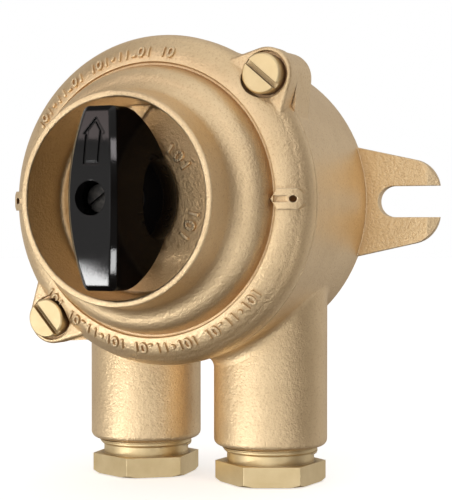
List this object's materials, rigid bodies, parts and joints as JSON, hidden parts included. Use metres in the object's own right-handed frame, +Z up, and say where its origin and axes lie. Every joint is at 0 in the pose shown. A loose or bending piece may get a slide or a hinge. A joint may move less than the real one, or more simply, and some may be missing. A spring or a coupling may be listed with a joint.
{
  "type": "cast brass marine rotary switch",
  "caption": "Wall-mounted rotary switch: round cast brass housing, guard collar round a black wing knob, slotted wall ears and downward cable glands.",
  "frame": {"origin": "where the switch's axis meets the wall, on the housing's flat back", "axes": "+Y into the wall, +Z up, +X right for someone who faces the switch; the knob faces -Y and the cable glands point to -Z"},
  "size_m": [0.1154, 0.0778, 0.1117],
  "materials": {
    "cast_brass": "sand cast and shot blasted, satin",
    "machined_brass": "turned, satin",
    "black_thermoset": "moulded, glossy",
    "bakelite": "moulded brown thermoset",
    "seal_rubber": "moulded, matt",
    "steel": "rolled and zinc plated",
    "blackened_steel": "black oxide"
  },
  "bodies": {
    "body": {"housing": "cast_brass", "cover": "cast_brass", "cover_gasket": "seal_rubber", "cover_screws": "machined_brass", "screw_seals": "seal_rubber", "gland_screw_left": "machined_brass", "gland_screw_right": "machined_brass", "gland_washer_left": "machined_brass", "gland_washer_right": "machined_brass", "gland_seal_left": "seal_rubber", "gland_seal_right": "seal_rubber", "spindle_washer": "machined_brass", "spindle_bush": "machined_brass", "spindle_seal": "seal_rubber", "insert_base": "bakelite", "insert_screws": "steel", "contact_a_top": "machined_brass", "contact_a_bottom": "machined_brass", "contact_b_top": "machined_brass", "contact_b_bottom": "machined_brass", "terminal_screws": "machined_brass", "front_plate": "steel", "plate_posts": "machined_brass", "plate_screws": "steel", "detent_spring_left": "steel", "detent_spring_right": "steel", "earth_clamp": "machined_brass", "earth_screw": "machined_brass"},
    "rotor": {"knob": "black_thermoset", "knob_screw": "blackened_steel", "spindle": "machined_brass", "spindle_circlip": "steel", "rotor_drum": "bakelite", "bridge_a": "machined_brass", "bridge_b": "machined_brass", "star_wheel": "bakelite"}
  },
  "joints": [
    {"name": "switch_turn", "type": "hinge", "parent": "body", "child": "rotor", "pos_m": [0, -0.06, 0], "axis": [0, 1, 0], "range_deg": [0, 90], "deforming": ["detent_spring_left", "detent_spring_right"]}
  ]
}
